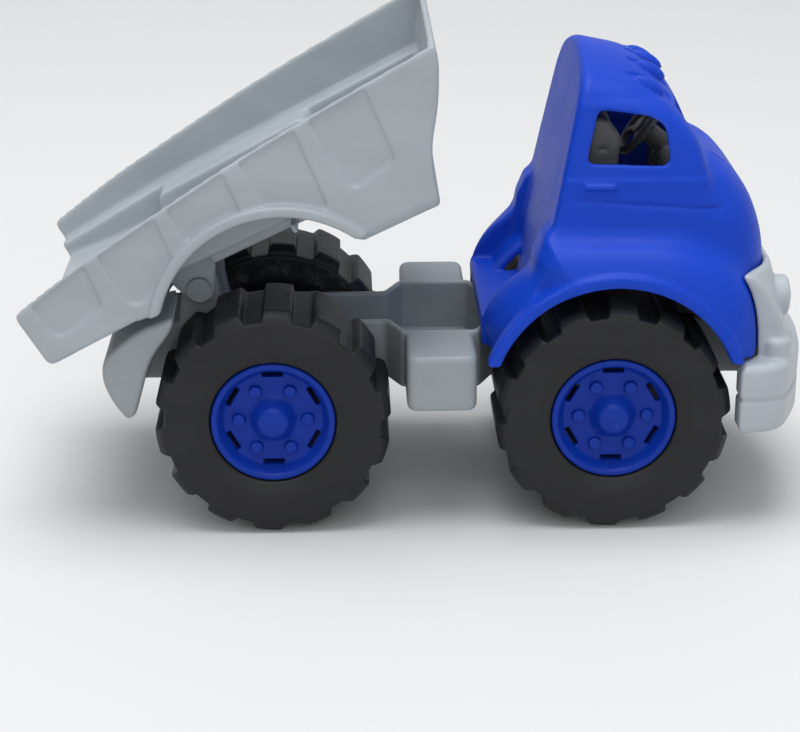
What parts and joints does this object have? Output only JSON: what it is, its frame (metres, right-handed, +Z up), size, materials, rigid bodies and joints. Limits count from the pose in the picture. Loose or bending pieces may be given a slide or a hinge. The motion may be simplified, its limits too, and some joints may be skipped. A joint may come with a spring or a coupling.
{
  "type": "toy dump truck",
  "caption": "Chunky moulded toy dump truck with a tipping bed on a rear hinge, rolling lugged wheels, a rounded cab with open windows, and a thick bumper.",
  "frame": {"origin": "on the floor under the middle of the whole truck's box, with the bed raised as it is at rest", "axes": "+X forward, +Y to the truck's left side, +Z up"},
  "size_m": [0.2846, 0.122, 0.1786],
  "materials": {
    "frame_plastic": "satin",
    "light_plastic": "satin",
    "cab_plastic": "satin",
    "interior_plastic": "matte",
    "hub_plastic": "satin",
    "tyre_plastic": "matte",
    "screw_steel": "zinc plated"
  },
  "bodies": {
    "chassis": {"chassis_frame": "frame_plastic", "cab_shell": "cab_plastic", "cab_interior": "interior_plastic", "steering_wheel": "interior_plastic", "grille_bumper": "light_plastic", "hinge_pin_left": "frame_plastic", "hinge_pin_right": "frame_plastic", "cab_screw_1": "screw_steel", "cab_screw_2": "screw_steel", "cab_screw_3": "screw_steel", "cab_screw_4": "screw_steel"},
    "front_wheelset": {"axle_front": "frame_plastic", "hub_front_left": "hub_plastic", "hub_front_right": "hub_plastic", "tyre_front_left": "tyre_plastic", "tyre_front_right": "tyre_plastic"},
    "rear_wheelset": {"axle_rear": "frame_plastic", "hub_rear_left": "hub_plastic", "hub_rear_right": "hub_plastic", "tyre_rear_left": "tyre_plastic", "tyre_rear_right": "tyre_plastic"},
    "bed": {"dump_bed": "light_plastic"}
  },
  "joints": [
    {"name": "bed_tilt", "type": "hinge", "parent": "chassis", "child": "bed", "pos_m": [-0.0807, 0, 0.08198], "axis": [0, -1, 0], "range_deg": [-33, 19]},
    {"name": "front_axle_spin", "type": "hinge", "parent": "chassis", "child": "front_wheelset", "pos_m": [0.06831, 0, 0.04248], "axis": [0, 1, 0], "continuous": true},
    {"name": "rear_axle_spin", "type": "hinge", "parent": "chassis", "child": "rear_wheelset", "pos_m": [-0.05369, 0, 0.04248], "axis": [0, 1, 0], "continuous": true}
  ]
}
